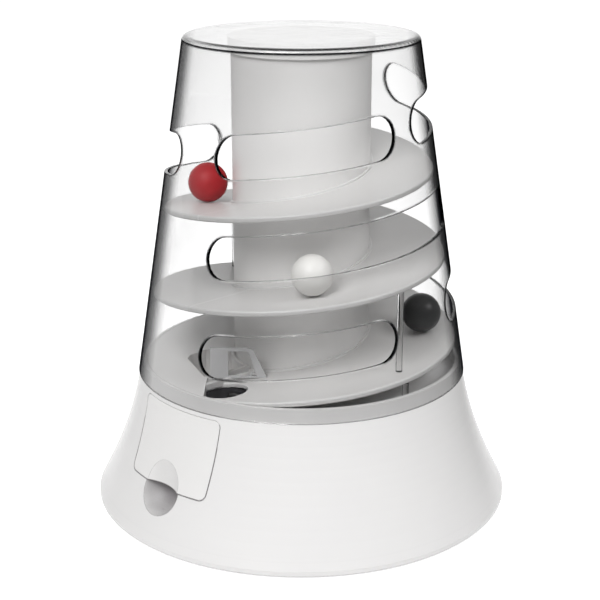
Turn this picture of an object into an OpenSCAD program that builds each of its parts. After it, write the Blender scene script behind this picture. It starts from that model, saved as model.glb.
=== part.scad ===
// Tower ball track toy for cats. A flared base holds a battery drive that turns a lift screw in a hollow
// column. Three balls roll down a track wound round the column, inside a clear slotted cover.
// Lengths are in millimetres, angles in degrees. Z is up, z = 0 is the floor, and the column's axis is the
// Z axis. The front faces -Y. An azimuth counts from the front and is positive towards +X.

/* [Base] */
// Radius of the base at its foot
base_r = 150; // [144:1:158]
// Height of the ledge that carries the clear cover
base_h = 95; // [94:0.5:100]
// Radius of the base at that ledge
ledge_r = 117.5; // [116.5:0.5:120]
// Wall of the base
base_wall = 2.6; // [2:0.1:3]
// Thickness of the base's roof, the floor under the track
roof_t = 2.5; // [2:0.1:3]
// Height of the upright lip at the foot
lip_h = 5; // [4:0.5:8]
// How far the shell's foot stands off the floor
foot_lift = 1; // [0.5:0.1:1.5]
// Rounding of the foot lip
lip_round = 1; // [0.5:0.1:1.5]
// Height of the collar inside the cover's foot
collar_h = 9.5; // [8:0.5:11]
// Inner radius of the collar
collar_in_r = 111.5; // [110:0.5:112.5]
// Thickness of the base plate
plate_t = 2.5; // [2:0.1:3.5]
// Thickness of a rubber foot
foot_t = 3; // [2.5:0.1:4]
// Radius of a rubber foot
foot_r = 9; // [6:0.5:11]

/* [Battery door] */
// Width of the door
door_w = 76.4; // [70:0.5:80]
// Height of the door
door_h = 52.6; // [50:0.2:55]
// Corner radius of the door
door_corner_r = 4.5; // [3:0.5:7]
// Gap round the door
door_gap = 0.35; // [0.2:0.05:0.5]
// Half width of the finger grip at the door's lower edge
grip_half_w = 17.5; // [14:0.5:20]
// Half width of the pocket in the base below it
pocket_half_w = 16.8; // [14:0.2:18]
// Height of the pocket's deepest point above the door's lower edge
pocket_rise = 1.5; // [0:0.5:3]
// Depth of the scoop in the door
scoop_depth = 4.5; // [3:0.5:6]
// Depth of the pocket in the base under the door's edge
pocket_depth = 12; // [8:0.5:14]

/* [Batteries] */
// Radius of a cell
cell_r = 5.25; // [5:0.05:5.3]
// Length of a cell
cell_l = 44.5; // [40:0.5:46]
// Distance between the axes of neighbouring cells
cell_pitch = 11.2; // [10.9:0.1:11.6]
// Room for a contact at each end of the cells
contact_room = 3; // [2:0.1:4]
// Wall of the battery box
box_wall = 1.2; // [1:0.1:1.4]

/* [Column] */
// Radius of the column
column_r = 48.4; // [47.5:0.1:49]
// Wall of the column
column_wall = 2.4; // [2:0.1:2.6]
// Radius of the top cap
cap_r = 50.4; // [50:0.1:53]
// Height of the top cap
cap_h = 8.3; // [7:0.1:10]

/* [Track] */
// Rise of the track in one turn
track_pitch = 61; // [58:0.5:64]
// Height of the track's face over the ledge at the front of its first turn
track_front_h = 14; // [13:0.5:16]
// Thickness of the track's floor
track_t = 2.6; // [2:0.1:3]
// Depth of the track's outer edge
edge_h = 4; // [3.5:0.1:5]
// Width of that edge
edge_w = 3; // [2:0.1:4]
// Rounding of that edge
edge_round = 0.8; // [0.4:0.1:1.2]
// Height of the upstand where the track meets the column
hub_h = 1.4; // [1:0.1:3]
// Thickness of that upstand
hub_t = 1.5; // [1:0.1:2]
// Radius of the drop hole in the track
drop_hole_r = 15.6; // [15.4:0.1:16]
// Distance of the drop hole from the column's axis
drop_r = 92.6; // [91.6:0.2:93.2]

/* [Collector] */
// Depth of the well below the deck's top face
well_depth = 20.5; // [18:0.5:21]
// Thickness of the deck and of the well's walls
deck_t = 2; // [1.6:0.1:2.4]
// Distance of the guard's front face from the column's axis
guard_front = 57.2; // [56.4:0.2:58]
// Height of the guard over the deck
guard_h = 21.8; // [20:0.2:23]
// Wall of the guard
guard_wall = 2.6; // [2:0.1:3]
// Inner radius of the drop chute
chute_r = 15; // [14.6:0.1:15.4]
// Wall of the drop chute
chute_wall = 1.2; // [1:0.1:1.6]

/* [Cover] */
// Height of the clear cover above the ledge
cover_h = 238.9; // [236:0.5:244]
// Outer radius at its foot
cover_foot_r = 118.3; // [117.5:0.1:120]
// Outer radius at its top
cover_top_r = 81.1; // [79:0.5:84]
// Wall of the cover
cover_wall = 2.2; // [1.8:0.1:2.4]
// Rounding of its top rim
cover_rim_r = 4; // [3:0.5:6]
// Width of a paw slot
slot_w = 28.5; // [24:0.5:30]
// Rise of the slots' centre line in one turn
slot_pitch = 65; // [62:0.5:68]
// Height of that line over the ledge at the front of its first turn
slot_front_h = 44.7; // [42:0.5:47]

/* [Balls] */
// Diameter of a ball
ball_d = 28; // [26:0.5:28.5]

/* [Drive] */
// Radius of the steel shaft
shaft_r = 4; // [3.5:0.1:4.5]
// Radius of the lift screw's core
core_r = 8; // [7:0.5:9]
// Radius of the lift screw's flight
flight_r = 39; // [37:0.5:39.5]
// Rise of the flight in one turn
flight_pitch = 34; // [32:0.5:36]
// Thickness of the flight
flight_t = 3; // [2.4:0.1:3.5]
// Module of the screw's gear and of the small gear on the compound gear
main_module = 1.5; // [1.4:0.02:1.54]
// Module of the motor's pinion and of the large gear on the compound gear
motor_module = 1; // [0.9:0.02:1.04]
// Face width of the main gear
main_gear_w = 8; // [6:0.5:9]
// Height of the gear plate, the lift's floor
gear_plate_h = 43; // [42:0.5:45]
// Thickness of the gear plate
gear_plate_t = 3; // [2.5:0.1:3.5]
// Radius of the motor
motor_r = 12.2; // [11:0.1:13]
// Length of the motor
motor_l = 35; // [28:1:40]

/* [Hidden] */
$fn = 96;

// Gap between pieces that lie against each other without a fit
seat_gap = 0.3;
// Radial clearance of a shaft that turns in its bush
run_gap = 0.05;
// Radial clearance of a pin or bush that is pressed into its seat
press_gap = 0.02;
// How far a cutting shape runs past the face that it cuts
over = 2;
// Length over which a slope is measured
probe = 0.5;

// Flare of the base: a cubic whose two inner radii set the slope at the foot and at the ledge
foot_slope_share = 0.55;
flare_n = 12;
flare_third = (base_h - lip_h) / 3;
cover_taper = (cover_foot_r - cover_top_r) / cover_h;
flare_low_r = base_r - foot_slope_share * flare_third;
flare_high_r = ledge_r + cover_taper * flare_third;
roof_z = base_h - roof_t;
plate_z = foot_t;
plate_top = plate_z + plate_t;

// Cover
cover_top = base_h + cover_h;
cover_lean = atan(cover_taper);
cover_wall_w = cover_wall / cos(cover_lean);
cover_foot_z = base_h + seat_gap;
rim_steps = 6;
collar_gap = 0.4;
collar_top = base_h + collar_h;
// Spans of the paw slots along their helix, as azimuths that go on counting with each turn
slot_spans = [[-37, 35], [66, 135], [323, 448], [581, 660], [683, 762], [774, 854]];
slot_end_steps = [4, 16, 30, 46, 62, 78, 90];
slot_step = 8;

// Battery door, in a frame that is turned to the door's azimuth
door_az = -45.8;
door_roof_gap = 0.7;
door_top = roof_z - door_roof_gap;
door_low = door_top - door_h;
door_mid = (door_top + door_low) / 2;
door_reach = base_r;
tab_w = 8;
tab_rise = 1.4;
tab_t = 2;
tab_drop = 6;
tab_x = 31.5;

// Battery box, on a line of cells that leans with the door
cell_count = 3;
bay_tilt = 12.4;
// Gap between the door's inner face and the cells at the top of the box
bay_door_gap = 0.9;
bay_z = door_mid - cell_r;
bay_r = flare_r(bay_z) - base_wall - bay_door_gap - cell_r - cell_r * 0.5;
cell_gap = 0.3;
bay_w = cell_l + 2 * contact_room;
bay_h = cell_count * cell_pitch + 2 * cell_gap;
bay_back = cell_r + cell_gap;
bay_front_share = 0.85;
nub_r = 1.9;
nub_l = 0.8;
spring_r = 3.5;
spring_tip_r = 2.4;
contact_t = 0.4;
contact_w_share = 0.75;
bay_post_r = 4;
bay_post_x_share = 0.35;

// Fixings of the base plate
boss_azimuths = [12, 82, 150, -108];
boss_ring_r = 108;
boss_r = 5;
screw_r = 1.5;
screw_head_r = 3.4;
screw_head_h = 2.4;
screw_l = 14;
screw_room = 0.3;
cup_h = 2.5;
foot_count = 6;
foot_ring_r = 132;
plate_rim_gap = 0.6;

// Drive
motor_az = 120;
main_teeth = 48;
small_teeth = 12;
large_teeth = 40;
pinion_teeth = 12;
pressure_angle = 20;
addendum_share = 0.8;
dedendum_share = 1.05;
backlash = 0.4;
flank_steps = 3;
main_centre = main_module * (main_teeth + small_teeth) / 2;
motor_centre = main_centre + motor_module * (large_teeth + pinion_teeth) / 2;
bush_wall = 2;
bush_flange_t = 1;
bush_flange_w = 2.5;
bush_boss_h = 6.5;
main_gear_z = plate_top + bush_boss_h + bush_flange_t + seat_gap * 2;
main_hub_r = 9;
main_hub_h = 4;
axle_r = 2;
axle_boss_r = 4;
large_gear_gap = 3;
large_gear_w = 4.5;
large_gear_z = main_gear_z + main_gear_w + large_gear_gap;
gear_plate_z = gear_plate_h - gear_plate_t;
pillar_r = 4;
pillar_places = [[60, 52], [180, 52], [-60, 52], [motor_az, 91]];
plate_disc_r = 57;
lobe_w_share = 1.4;
motor_boss_r = 3.5;
motor_shaft_r = 1.5;
motor_shaft_l = 7;
motor_tail_r = 5;
motor_tail_h = 2;
terminal_w = 2;
terminal_t = 0.5;
terminal_h = 4;

// Column and lift
column_in_r = column_r - column_wall;
foot_flange_t = 3;
foot_flange_w = 7.6;
cap_top = cover_top - cover_wall - 2 * seat_gap;
cap_t = 2.4;
cap_lip_w = 1.6;
cap_plug_h = 8;
column_top = cap_top - cap_t;
exit_az = 200;
exit_share = 31 / 28;
exit_w = ball_d * exit_share;
exit_step = 1;
lift_top = track_z(exit_az + 720) + exit_step;
exit_h = ball_d + 4 * flight_t / 3;
rib_t = 2;
rib_depth = 6;
rib_half_w = 12.5;
rib_lift = 40;
rib_start = gear_plate_h + rib_lift;
flight_step = 15;
screw_foot_gap = 1.2;
flight_low = gear_plate_h + screw_foot_gap + seat_gap + flight_t;
flight_turn = 360 * (lift_top - flight_low) / flight_pitch;
screw_top = lift_top + flight_t;
spider_z = lift_top + exit_h + seat_gap * 3;
spider_h = 5;
spider_ring_w = 2.6;
spider_arms = [20, 140, 260];
spider_arm_w = 6;
spider_hub_r = 10;
spider_hub_drop = 3;
spider_hub_rise = 4;
kicker_in_r = 12;
kicker_out_r = 27;
kicker_w = 16;
kicker_gap = 3;
shaft_rise = 3;
shaft_top = spider_z + spider_h + spider_hub_rise + shaft_rise;

// Track
hub_r = column_r / cos(2.5) + run_gap;
track_step = 5;
track_gap = 0.8;
track_start = -62;
track_seams = [315, 675];
track_end = 920;
seam_gap = 0.3;
track_cap = [[0, 1, 7], [1, 2, 3], [1, 3, 4], [1, 4, 5], [1, 5, 6], [1, 6, 7], [0, 7, 8], [0, 8, 9]];
quad_cap = [[0, 1, 2], [0, 2, 3]];

// Collector, round the drop hole. The end line runs past the hole on its far side, at this turn and distance
drop_az = -33.8;
end_turn = 39.2;
end_x = -65;
end_line = 25;
fence_line = 13.4;
fence_t = 1.8;
fence_h = 4.6;
deck_span = [-190, -30];
deck_rim_w = 2.2;
// Corners of the well, as shares of the ledge's radius, from the one inside the column
well_shares = [[-0.291, -0.253], [-0.374, 0.102], [-0.604, 0.026], [-0.7, -0.075], [-0.711, -0.145],
    [-0.578, -0.487]];
well_z = collar_top - well_depth;
// Front view of the guard and of its window: shares of the front distance across, of the height upwards
guard_shares = [[-1.1, 0], [-0.414, 0], [-0.577, 0.93], [-0.656, 1], [-1.1, 1]];
window_shares = [[-0.882, 0.055], [-0.537, 0.055], [-0.63, 0.84], [-0.665, 0.89], [-0.882, 0.89]];
hook_x_share = -0.62;
hook_w = 1.2;
hook_h = 4;
post_r = 2.2;
post_gap = 0.4;
// Posts as azimuth, distance inside the edge of the track above, and the turns they stand between
low_post_az = 40;
mid_post_az = 41.5;
rear_post_az = -147;
post_inset = 3.4;

// Chute
chute_foot_z = gear_plate_h + foot_flange_t + seat_gap;
chute_top = roof_z;
chute_floor_t = 1.8;
chute_slope = 8;
chute_lean = 15;
trough_half_w = chute_r - seat_gap;
neck_drop = 4.6;
trough_top = well_z - deck_t - 2 * seat_gap;
ear_r = 4.5;
ear_t = 2.5;
ear_x_share = 1.08;
ear_turns = [15, -100];

// Control board and switch
board_az = -150;
board_ring_r = 92;
board_w = 36;
board_d = 26;
board_t = 1.6;
board_post_r = 2.5;
board_post_h = 4;
board_post_share = 0.38;
chip_w = 10;
chip_h = 2;
cap_can_r = 4;
cap_can_h = 9;
plug_w = 8;
plug_h = 6;
switch_z = 58;
switch_w = 24;
switch_h = 10;
switch_depth = 18;
switch_inset = 2.6;
switch_gap = 0.2;
knob_w = 6;
knob_h = 4;
knob_travel = 3;
knob_in = 6;
knob_out = 3.4;
knob_gap = 0.3;

// Balls, as azimuth and distance from the axis, with the turn of the track that each lies on
ball_gap = 0.2;
ball_red_at = [-92.1, 65.9, 2];
ball_white_at = [5.3, 77.3, 1];
ball_black_at = [82.9, 86.5, 0];

function pol(r, az, z) = [r * sin(az), -r * cos(az), z];
function flare_r(z) = let (t = (z - lip_h) / (base_h - lip_h), u = 1 - t)
    u^3 * base_r + 3 * u^2 * t * flare_low_r + 3 * u * t^2 * flare_high_r + t^3 * ledge_r;
function flare_lean(z) = atan((flare_r(z - probe) - flare_r(z + probe)) / (2 * probe));
function cover_out(z) = cover_foot_r - cover_taper * (z - base_h);
function track_z(az) = base_h + track_front_h + track_pitch * az / 360;
function slot_z(az) = base_h + slot_front_h + slot_pitch * az / 360;
function cover_in(z) = cover_out(z) - cover_wall_w;
function track_edge(az) = min(collar_in_r, cover_in(track_z(az))) - track_gap;

// Height of a ball's centre over the track's face below it, on a track that slopes
function ball_rise(r) = ball_d / 2 / cos(atan(track_pitch / (2 * PI * r))) + ball_gap;

// Corners of a convex outline moved inwards by d, each where its two moved sides cross
function side_line(p, q, d) = let (v = q - p, n = [-v[1], v[0]] / norm(v)) [p + n * d, v];
function crossing(a, b) = let (v = a[1], w = b[1], k = b[0] - a[0],
    s = (k[0] * w[1] - k[1] * w[0]) / (v[0] * w[1] - v[1] * w[0])) a[0] + v * s;
function inset(outline, d) = let (n = len(outline)) [for (i = [0 : n - 1])
    crossing(side_line(outline[(i + n - 1) % n], outline[i], d), side_line(outline[i], outline[(i + 1) % n], d))];

// Skin through rings of points that lie in planes through the Z axis, closed by the cap triangles
module loft(rings, cap) {
    n = len(rings[0]);
    last = (len(rings) - 1) * n;
    sides = [for (j = [0 : len(rings) - 2], i = [0 : n - 1])
        let (a = j * n + i, b = j * n + (i + 1) % n) each [[a, b, b + n], [a, b + n, a + n]]];
    first_cap = [for (t = cap) [t[2], t[1], t[0]]];
    last_cap = [for (t = cap) [for (k = t) k + last]];
    polyhedron(points = [for (r = rings) each r], faces = concat(sides, first_cap, last_cap));
}

// Places children at an azimuth and a distance from the Z axis; their -Y side then faces outwards
module at(az, r = 0, z = 0) {
    rotate([0, 0, az]) translate([0, -r, z]) children();
}

module rounded_plate(w, h, r, depth) {
    linear_extrude(depth) {
        square([w - 2 * r, h], center = true);
        square([w, h - 2 * r], center = true);
        for (x = [-1, 1], y = [-1, 1]) translate([x * (w / 2 - r), y * (h / 2 - r)]) circle(r);
    }
}

module ring(r_in, r_out, low, high) {
    difference() {
        translate([0, 0, low]) cylinder(r = r_out, h = high - low);
        translate([0, 0, low - over]) cylinder(r = r_in, h = high - low + 2 * over);
    }
}

// Involute gear with its first tooth on +X
module gear(teeth, size, width) {
    pitch_r = teeth * size / 2;
    roll_r = pitch_r * cos(pressure_angle);
    tip_r = pitch_r + addendum_share * size;
    root_r = pitch_r - dedendum_share * size;
    low_r = max(roll_r, root_r);
    half = 90 / teeth - backlash / (4 * pitch_r) * 180 / PI + involute(pressure_angle);
    radii = concat([root_r], [for (k = [0 : flank_steps]) low_r + (tip_r - low_r) * k / flank_steps]);
    flank = [for (r = radii) [r, half - (r > roll_r ? involute(acos(roll_r / r)) : 0)]];
    linear_extrude(width) polygon([for (i = [0 : teeth - 1]) let (c = i * 360 / teeth) each concat(
        [for (p = flank) p[0] * [cos(c - p[1]), sin(c - p[1])]],
        [for (k = [len(flank) - 1 : -1 : 0]) let (p = flank[k]) p[0] * [cos(c + p[1]), sin(c + p[1])]])]);
}
function involute(a) = tan(a) * 180 / PI - a;

// Base

module base_solid() {
    rotate_extrude() polygon(concat(
        [[0, foot_lift], [base_r - lip_round, foot_lift], [base_r, foot_lift + lip_round]],
        [for (i = [0 : flare_n]) let (z = lip_h + (base_h - lip_h) * i / flare_n) [flare_r(z), z]],
        [[0, base_h]]));
}

module base_hollow() {
    rotate_extrude() polygon(concat(
        [[0, 0], [base_r - base_wall, 0]],
        [for (i = [0 : flare_n]) let (z = lip_h + (roof_z - lip_h) * i / flare_n) [flare_r(z) - base_wall, z]],
        [[0, roof_z]]));
}

module door_prism(grow) {
    at(door_az, 0, door_mid) rotate([90, 0, 0]) translate([0, 0, ledge_r / 2])
        rounded_plate(door_w + 2 * grow, door_h + 2 * grow, door_corner_r + grow, door_reach - ledge_r / 2);
}

// A ball-shaped dent at a height of the door's middle line, its axis turned from the horizontal
module dent(depth, half_w, z, turn, wall) {
    r = (half_w^2 + depth^2) / (2 * depth);
    at(door_az, flare_r(z), z) rotate([turn, 0, 0]) translate([0, depth - r, 0]) sphere(r + wall);
}

// The door's shallow scoop lies square to its surface
module scoop(wall) {
    dent(scoop_depth, grip_half_w, door_low, -flare_lean(door_low), wall);
}

// The base's pocket looks down a little, so that a finger hooks behind the door's edge
module pocket(wall) {
    dent(pocket_depth, pocket_half_w, door_low + pocket_rise, flare_lean(door_low), wall);
}

// Distance of the leaning chute's axis from the column's axis, at a height
function chute_axis_r(z) = drop_r - (track_z(drop_az) - z) * tan(chute_lean);

// The chute's own frame, on its leaning axis at its top
module chute_axis() {
    at(drop_az, chute_axis_r(chute_top), chute_top) rotate([chute_lean, 0, 0]) children();
}

// The end line's frame, centred on the drop hole: +Y points past the end of the track
module end_frame() {
    translate(pol(drop_r, drop_az, 0)) rotate([0, 0, end_turn]) children();
}

module well_prism(d, low, high) {
    translate([0, 0, low]) linear_extrude(high - low)
        polygon(inset([for (p = well_shares) p * ledge_r], -d));
}

module collar() {
    rotate_extrude() polygon([
        [collar_in_r, roof_z], [cover_in(base_h) - collar_gap, roof_z], [cover_in(base_h) - collar_gap, base_h],
        [cover_in(collar_top) - collar_gap, collar_top], [collar_in_r, collar_top]]);
}

module base_shell() {
    color("white") difference() {
        union() {
            difference() {
                base_solid();
                base_hollow();
            }
            collar();
            intersection() {
                pocket(base_wall);
                base_solid();
                at(door_az) translate([-base_r, -base_r, plate_top + seat_gap]) cube([2 * base_r, base_r, base_h]);
            }
            for (a = boss_azimuths) at(a, boss_ring_r, plate_top + cup_h + seat_gap)
                cylinder(r = boss_r, h = roof_z - plate_top - cup_h);
        }
        door_prism(door_gap);
        pocket(0);
        for (a = boss_azimuths) at(a, boss_ring_r) cylinder(r = screw_r + press_gap, h = plate_top + cup_h + screw_l);
        cylinder(r = column_r + collar_gap, h = base_h + over);
        well_prism(seat_gap, roof_z - over, base_h + over);
        chute_axis() translate([0, 0, -chute_r]) cylinder(r = chute_r + chute_wall + seat_gap, h = 2 * chute_r);
        for (x = [-tab_x, tab_x]) at(door_az, flare_r(door_top)) translate([x, tab_in(), door_top])
            translate([-tab_w / 2 - seat_gap, -seat_gap, -over])
            cube([tab_w + 2 * seat_gap, tab_t + 2 * seat_gap, tab_rise + over + seat_gap]);
        at(180, flare_r(switch_z), switch_z)
            cube([switch_w + 2 * switch_gap, 6 * base_wall, switch_h + 2 * switch_gap], center = true);
    }
}

// Distance from the hinge line in to the near face of a door tab, behind the base's curved wall
function tab_in() = let (r = flare_r(door_top), half = tab_x + tab_w / 2)
    r - sqrt((r - base_wall)^2 - half^2) + seat_gap;

module base_plate() {
    root_z = plate_top - plate_t / 2;
    color("whitesmoke") difference() {
        union() {
            translate([0, 0, plate_z]) cylinder(r = base_r - base_wall - plate_rim_gap, h = plate_t);
            translate([0, 0, root_z]) cylinder(r = shaft_r + 3 * bush_wall, h = plate_top + bush_boss_h - root_z);
            for (a = boss_azimuths) at(a, boss_ring_r, root_z)
                cylinder(r = boss_r + 1.5 * screw_r, h = plate_top + cup_h - root_z);
            for (p = pillar_places) at(p[0], p[1], root_z) cylinder(r = pillar_r, h = gear_plate_z - root_z);
            at(motor_az, main_centre, root_z)
                cylinder(r = axle_boss_r, h = main_gear_z - root_z - 2 * seat_gap);
            for (x = [-1, 1]) at(door_az, bay_r) translate([x * bay_w * bay_post_x_share, 0, root_z])
                cylinder(r = bay_post_r, h = bay_foot() - root_z);
            for (x = [-1, 1], y = [-1, 1]) at(board_az, board_ring_r)
                translate([x * board_w * board_post_share, y * board_d * board_post_share, root_z])
                cylinder(r = board_post_r, h = plate_top + board_post_h - root_z);
        }
        for (a = boss_azimuths) at(a, boss_ring_r) {
            cylinder(r = screw_r + screw_room, h = plate_top + cup_h + over);
            cylinder(r = screw_head_r + screw_room, h = plate_z + screw_head_h + 2 * seat_gap);
        }
        translate([0, 0, plate_top]) cylinder(r = shaft_r + bush_wall + press_gap, h = bush_boss_h + over);
        at(motor_az, main_centre, plate_top) cylinder(r = axle_r + press_gap, h = gear_plate_h);
    }
}

// Height at which the battery box's posts end, a gap below its leaning floor
function bay_foot() = bay_z - (bay_h / 2 + box_wall) / cos(bay_tilt) - bay_post_r * tan(bay_tilt) - seat_gap;

module rubber_feet() {
    color("dimgray") for (i = [0 : foot_count - 1]) at((i + 0.5) * 360 / foot_count, foot_ring_r)
        cylinder(r = foot_r, h = foot_t);
}

module base_screws() {
    color("silver") for (a = boss_azimuths) at(a, boss_ring_r, plate_z + seat_gap) {
        cylinder(r = screw_head_r, h = screw_head_h);
        cylinder(r = screw_r, h = screw_head_h + screw_l);
    }
}

module battery_door() {
    root_y = tab_in() - base_wall - 2 * seat_gap;
    color("white") difference() {
        union() {
            intersection() {
                difference() {
                    base_solid();
                    base_hollow();
                }
                door_prism(0);
            }
            intersection() {
                scoop(base_wall);
                base_solid();
                door_prism(0);
            }
            for (x = [-tab_x, tab_x]) at(door_az, flare_r(door_top)) translate([x - tab_w / 2, 0, door_top]) {
                translate([0, tab_in(), -tab_drop]) cube([tab_w, tab_t, tab_drop + tab_rise]);
                translate([0, root_y, -tab_drop]) cube([tab_w, tab_in() + tab_t - root_y, tab_drop / 2]);
            }
        }
        scoop(0);
    }
}

// Battery box, in the tilted frame of its cells: X along a cell, Y inwards, Z up the stack

module bay() {
    at(door_az, bay_r, bay_z) rotate([-bay_tilt, 0, 0]) children();
}

module cell_places() {
    for (i = [0 : cell_count - 1]) bay() translate([0, 0, (i - (cell_count - 1) / 2) * cell_pitch])
        mirror([i % 2, 0, 0]) children();
}

module battery_box() {
    color("dimgray") bay() difference() {
        translate([-bay_w / 2 - box_wall, -cell_r * bay_front_share, -bay_h / 2 - box_wall])
            cube([bay_w + 2 * box_wall, cell_r * bay_front_share + bay_back + box_wall, bay_h + 2 * box_wall]);
        translate([-bay_w / 2, -cell_r - over, -bay_h / 2]) cube([bay_w, cell_r + over + bay_back, bay_h]);
    }
}

module battery_cells() {
    color("seagreen") cell_places() rotate([0, 90, 0]) translate([0, 0, -cell_l / 2]) {
        cylinder(r = cell_r, h = cell_l - nub_l);
        cylinder(r = nub_r, h = cell_l);
    }
}

module contact_springs() {
    color("silver") cell_places() translate([-bay_w / 2, 0, 0]) rotate([0, 90, 0]) {
        cylinder(r = spring_r, h = contact_t);
        cylinder(r1 = spring_r, r2 = spring_tip_r, h = contact_room - run_gap, $fn = 32);
    }
}

module contact_plates() {
    color("silver") cell_places() translate([bay_w / 2 - contact_room + run_gap, 0, 0]) {
        translate([0, -cell_r * contact_w_share / 2, -cell_r * contact_w_share / 2])
            cube([contact_t, cell_r * contact_w_share, cell_r * contact_w_share]);
        translate([0, -nub_r / 2, -nub_r / 2]) cube([contact_room - run_gap, nub_r, nub_r]);
    }
}

// Electrics

module control_board() {
    at(board_az, board_ring_r, plate_top + board_post_h) {
        color("seagreen") translate([-board_w / 2, -board_d / 2, 0]) cube([board_w, board_d, board_t]);
        color("dimgray") translate([-chip_w, -chip_w / 2, board_t]) cube([chip_w, chip_w, chip_h]);
        color("dimgray") translate([board_w / 4, board_d / 5, board_t]) cylinder(r = cap_can_r, h = cap_can_h);
        color("ivory") translate([board_w / 2 - 1.5 * plug_w, -board_d / 2 + plug_w / 4, board_t])
            cube([plug_w, plug_w * 0.7, plug_h]);
    }
}

module power_switch() {
    color("dimgray") at(180, flare_r(switch_z) - switch_inset, switch_z) difference() {
        translate([-switch_w / 2, 0, -switch_h / 2]) cube([switch_w, switch_depth, switch_h]);
        translate([-knob_w / 2 - knob_travel - knob_gap, -over, -knob_h / 2 - knob_gap])
            cube([knob_w + 2 * knob_travel + 2 * knob_gap, knob_in + knob_gap + over, knob_h + 2 * knob_gap]);
    }
}

module switch_knob() {
    color("lightgray") at(180, flare_r(switch_z) - switch_inset, switch_z)
        translate([-knob_w / 2, -knob_out, -knob_h / 2]) cube([knob_w, knob_in + knob_out, knob_h]);
}

// Drive

module gear_motor() {
    color("silver") at(motor_az, motor_centre, gear_plate_h) difference() {
        union() {
            cylinder(r = motor_r, h = motor_l);
            translate([0, 0, -gear_plate_t]) cylinder(r = motor_boss_r, h = gear_plate_t);
            translate([0, 0, motor_l]) cylinder(r = motor_tail_r, h = motor_tail_h);
            for (x = [-1, 1]) translate([x * motor_r * 0.6 - terminal_w / 2, 0, motor_l])
                cube([terminal_w, terminal_t, terminal_h]);
        }
        translate([0, 0, -gear_plate_t - over])
            cylinder(r = motor_shaft_r + run_gap, h = gear_plate_t + over + motor_shaft_l + seat_gap);
    }
}

module motor_pinion() {
    color("goldenrod") at(motor_az, motor_centre) {
        translate([0, 0, large_gear_z]) rotate(gear_turn(pinion_teeth)) gear(pinion_teeth, motor_module, large_gear_w);
        translate([0, 0, large_gear_z]) cylinder(r = motor_shaft_r, h = gear_plate_h + motor_shaft_l - large_gear_z);
    }
}

// In a frame turned to the motor's azimuth, outwards is -Y: a gear's first tooth is turned to face that
// way, and the gear outside it has a gap facing back
function gear_turn(teeth) = 90 + 180 / teeth;

module compound_gear() {
    color("ivory") at(motor_az, main_centre) difference() {
        union() {
            translate([0, 0, main_gear_z]) rotate(gear_turn(small_teeth))
                gear(small_teeth, main_module, main_gear_w + large_gear_gap);
            translate([0, 0, large_gear_z]) rotate(-90) gear(large_teeth, motor_module, large_gear_w);
        }
        translate([0, 0, plate_top]) cylinder(r = axle_r + run_gap, h = gear_plate_h);
    }
}

module gear_axle() {
    color("silver") at(motor_az, main_centre, plate_top + seat_gap)
        cylinder(r = axle_r, h = gear_plate_h - plate_top - seat_gap);
}

module main_gear() {
    color("ivory") at(motor_az) difference() {
        union() {
            translate([0, 0, main_gear_z]) rotate(-90) gear(main_teeth, main_module, main_gear_w);
            translate([0, 0, main_gear_z]) cylinder(r = main_hub_r, h = main_gear_w + main_hub_h);
        }
        cylinder(r = shaft_r + press_gap, h = gear_plate_h);
    }
}

module gear_plate() {
    color("whitesmoke") difference() {
        union() {
            translate([0, 0, gear_plate_z]) cylinder(r = plate_disc_r, h = gear_plate_t);
            at(motor_az) translate([-motor_r * lobe_w_share, -pillar_places[3][1], gear_plate_z])
                cube([2 * motor_r * lobe_w_share, pillar_places[3][1], gear_plate_t]);
            at(motor_az, pillar_places[3][1], gear_plate_z) cylinder(r = pillar_r * 1.5, h = gear_plate_t);
            at(motor_az, main_centre, large_gear_z + large_gear_w + 2 * seat_gap)
                cylinder(r = axle_boss_r, h = gear_plate_z - large_gear_z - large_gear_w);
        }
        translate([0, 0, gear_plate_z - over])
            cylinder(r = shaft_r + bush_wall + press_gap, h = gear_plate_t + 2 * over);
        at(motor_az, main_centre, large_gear_z) cylinder(r = axle_r + press_gap, h = gear_plate_h);
        at(motor_az, motor_centre, gear_plate_z - over) cylinder(r = motor_boss_r + press_gap, h = gear_plate_h);
    }
}

// A flanged bush whose sleeve runs from low to high; the flange is on the low side if below is 1
module bush(low, high, flange_z) {
    color("goldenrod") difference() {
        union() {
            translate([0, 0, low]) cylinder(r = shaft_r + bush_wall, h = high - low);
            translate([0, 0, flange_z]) cylinder(r = shaft_r + bush_wall + bush_flange_w, h = bush_flange_t);
        }
        translate([0, 0, low - over]) cylinder(r = shaft_r + run_gap, h = high - low + 2 * over);
    }
}

module lower_bush() {
    bush(plate_top + seat_gap, plate_top + bush_boss_h + bush_flange_t, plate_top + bush_boss_h);
}

module middle_bush() {
    bush(gear_plate_z - bush_flange_t, gear_plate_h, gear_plate_z - bush_flange_t);
}

module upper_bush() {
    bush(spider_z - spider_hub_drop - bush_flange_t, spider_z + spider_h + spider_hub_rise,
        spider_z - spider_hub_drop - bush_flange_t);
}

module screw_shaft() {
    color("silver") translate([0, 0, plate_top + 2 * seat_gap])
        cylinder(r = shaft_r, h = shaft_top - plate_top - 2 * seat_gap);
}

module lift_screw() {
    color("lightgray") difference() {
        union() {
            translate([0, 0, gear_plate_h + screw_foot_gap])
                cylinder(r = core_r, h = screw_top - gear_plate_h - screw_foot_gap);
            loft([for (i = [0 : flight_turn / flight_step]) flight_ring(i * flight_step)], quad_cap);
        }
        cylinder(r = shaft_r + press_gap, h = shaft_top);
    }
}

function flight_ring(turn) = let (z = flight_low + flight_pitch * turn / 360) [
    pol(core_r * 0.8, turn, z - flight_t), pol(flight_r, turn, z - flight_t),
    pol(flight_r, turn, z), pol(core_r * 0.8, turn, z)];

// Column

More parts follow.
